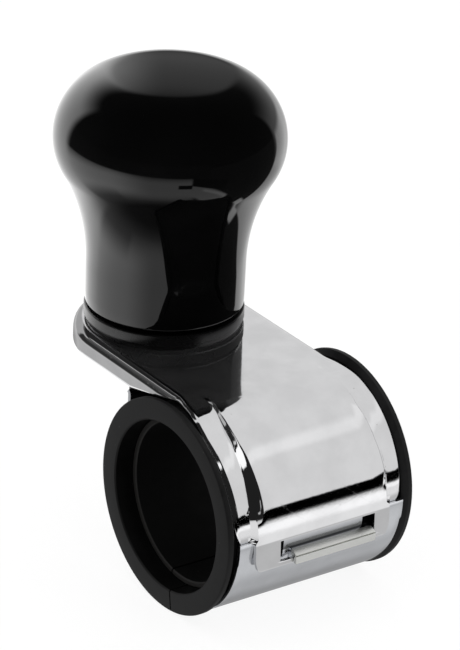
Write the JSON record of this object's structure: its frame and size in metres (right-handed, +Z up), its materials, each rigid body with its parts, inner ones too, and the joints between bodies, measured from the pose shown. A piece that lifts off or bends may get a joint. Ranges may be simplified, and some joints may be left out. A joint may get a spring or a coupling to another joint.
{
  "type": "steering wheel spinner knob",
  "caption": "Free-turning black grip on a plated bracket, whose band and hooked jaw clamp a rubber sleeve around a steering wheel's rim.",
  "frame": {"origin": "centre of the clamp's bore, on its axis, midway between the sleeve's flanges", "axes": "+X along the clamp's bore, +Y from the bore to the grip, +Z up along the grip's axis"},
  "size_m": [0.0504, 0.0876, 0.105],
  "materials": {
    "bracket_chrome": "bright chrome plating on pressed steel",
    "jaw_plating": "plating, a little duller than the bracket's",
    "sleeve_rubber": "black moulded rubber, satin",
    "liner_rubber": "black rubber, matt",
    "zinc_steel": "zinc-plated steel",
    "black_steel": "black oxide",
    "spindle_steel": "turned steel",
    "collar_black": "satin black",
    "dark_nylon": "black nylon",
    "bearing_bronze": "sintered bronze",
    "grip_gloss_black": "polished black"
  },
  "bodies": {
    "bracket": {"upper_bracket": "bracket_chrome", "rubber_sleeve": "sleeve_rubber", "sleeve_liner": "liner_rubber", "weld_nut_left": "zinc_steel", "weld_nut_right": "zinc_steel", "spindle": "spindle_steel", "spindle_spring_washer": "zinc_steel", "spindle_nut": "zinc_steel", "base_washer": "collar_black", "base_collar": "collar_black", "running_washer": "dark_nylon", "head_thrust_washer": "bearing_bronze"},
    "knob": {"knob_grip": "grip_gloss_black", "upper_bush": "bearing_bronze", "bush_spacer": "spindle_steel", "lower_bush": "bearing_bronze", "bore_circlip": "black_steel"},
    "jaw": {"lower_jaw": "jaw_plating"},
    "screw_left": {"clamp_screw_left": "black_steel", "screw_spring_washer_left": "zinc_steel", "screw_flat_washer_left": "zinc_steel"},
    "screw_right": {"clamp_screw_right": "black_steel", "screw_spring_washer_right": "zinc_steel", "screw_flat_washer_right": "zinc_steel"}
  },
  "joints": [
    {"name": "knob_spin", "type": "hinge", "parent": "bracket", "child": "knob", "pos_m": [0, 0.0368, 0.04], "axis": [0, 0, 1], "continuous": true},
    {"name": "jaw_swing", "type": "hinge", "parent": "bracket", "child": "jaw", "pos_m": [0, -0.02395, -0.0052], "axis": [-1, 0, 0], "range_deg": [0, 3]},
    {"name": "screw_left_backoff", "type": "slide", "parent": "bracket", "child": "screw_left", "axis": [0, 0, -1], "range_m": [0, 0.0032]},
    {"name": "screw_right_backoff", "type": "slide", "parent": "bracket", "child": "screw_right", "axis": [0, 0, -1], "range_m": [0, 0.0032]}
  ],
  "couplings": [
    {"joint": "screw_left_backoff", "follows": "jaw_swing", "m_per_rad": 0.0585},
    {"joint": "screw_right_backoff", "follows": "jaw_swing", "m_per_rad": 0.0585}
  ]
}
